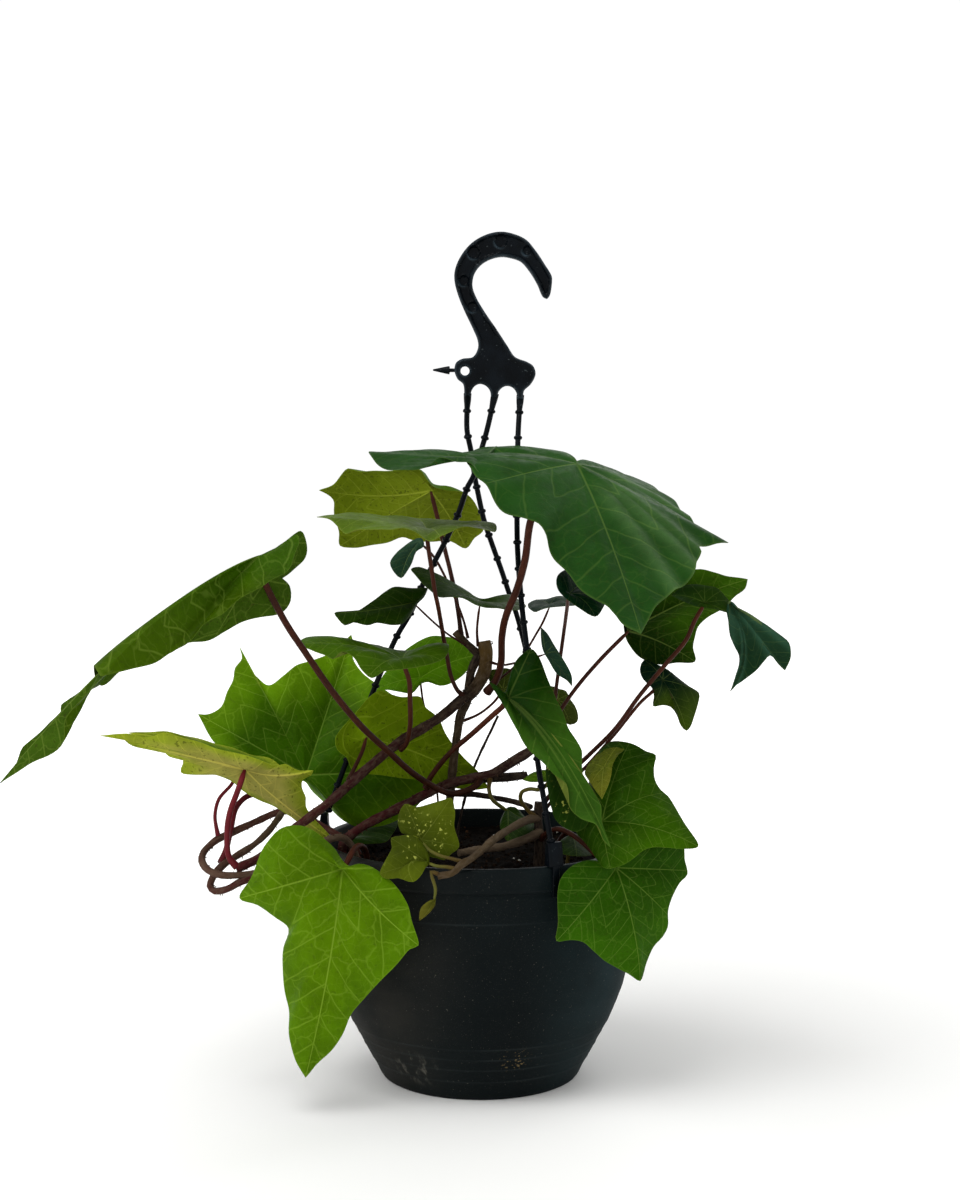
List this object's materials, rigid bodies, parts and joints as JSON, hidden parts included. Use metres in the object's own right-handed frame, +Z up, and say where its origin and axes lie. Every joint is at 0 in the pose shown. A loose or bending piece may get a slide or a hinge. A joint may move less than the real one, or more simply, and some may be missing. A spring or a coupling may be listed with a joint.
{
  "type": "hanging potted ivy",
  "caption": "Canary island ivy with large lobed leaves on woody stems, in a black hanging pot with a moulded hook and beaded strands.",
  "frame": {"origin": "seat of the hook, the underside of the top of its bend, where a rail or bracket carries it", "axes": "+Z up along the pot's axis, +X to the right seen from the front, +Y towards the back"},
  "size_m": [0.44, 0.3002, 0.5284],
  "materials": {
    "pot": "matte",
    "hanger": "satin",
    "soil": "rough",
    "bark": "rough",
    "leaf_dark": "satin",
    "leaf_bright": "satin",
    "leaf_olive": "satin"
  },
  "bodies": {
    "root": {"pot": "pot", "soil": "soil", "hook_plate": "hanger", "strand_front": "hanger", "strand_back": "hanger", "strand_left": "hanger", "clip_front": "hanger", "clip_back": "hanger", "clip_left": "hanger", "main_stem": "bark", "second_stem": "bark", "front_crown": "bark", "thin_runner": "bark", "thin_shoot": "bark", "crown_leaf": "leaf_dark", "long_left_leaf": "leaf_dark", "pale_left_leaf": "leaf_olive", "sliver_leaf": "leaf_dark", "big_back_leaf": "leaf_bright", "olive_leaf": "leaf_olive", "dark_low_leaf": "leaf_dark", "mid_left_leaf": "leaf_dark", "bright_mid_leaf": "leaf_bright", "upper_back_leaf": "leaf_olive", "edge_leaf": "leaf_dark", "slate_left_leaf": "leaf_dark", "curved_leaf": "leaf_dark", "curved_right_leaf": "leaf_dark", "dark_green_leaf": "leaf_dark", "shaded_crown_leaf": "leaf_dark", "right_back_leaf": "leaf_olive", "drooping_right_leaf": "leaf_dark", "small_curled_leaf": "leaf_dark", "front_folded_leaf": "leaf_dark", "right_upper_leaf": "leaf_bright", "right_lower_leaf": "leaf_bright", "front_left_leaf": "leaf_bright", "variegated_upper_leaf": "leaf_olive", "variegated_lower_leaf": "leaf_olive", "hanging_bud": "leaf_olive", "flecked_dark_leaf": "leaf_dark", "soil_leaf": "leaf_dark", "rim_leaf": "leaf_dark", "slate_right_leaf": "leaf_dark", "olive_low_leaf": "leaf_olive", "olive_inner_leaf": "leaf_olive", "olive_side_leaf": "leaf_olive"}
  },
  "joints": []
}
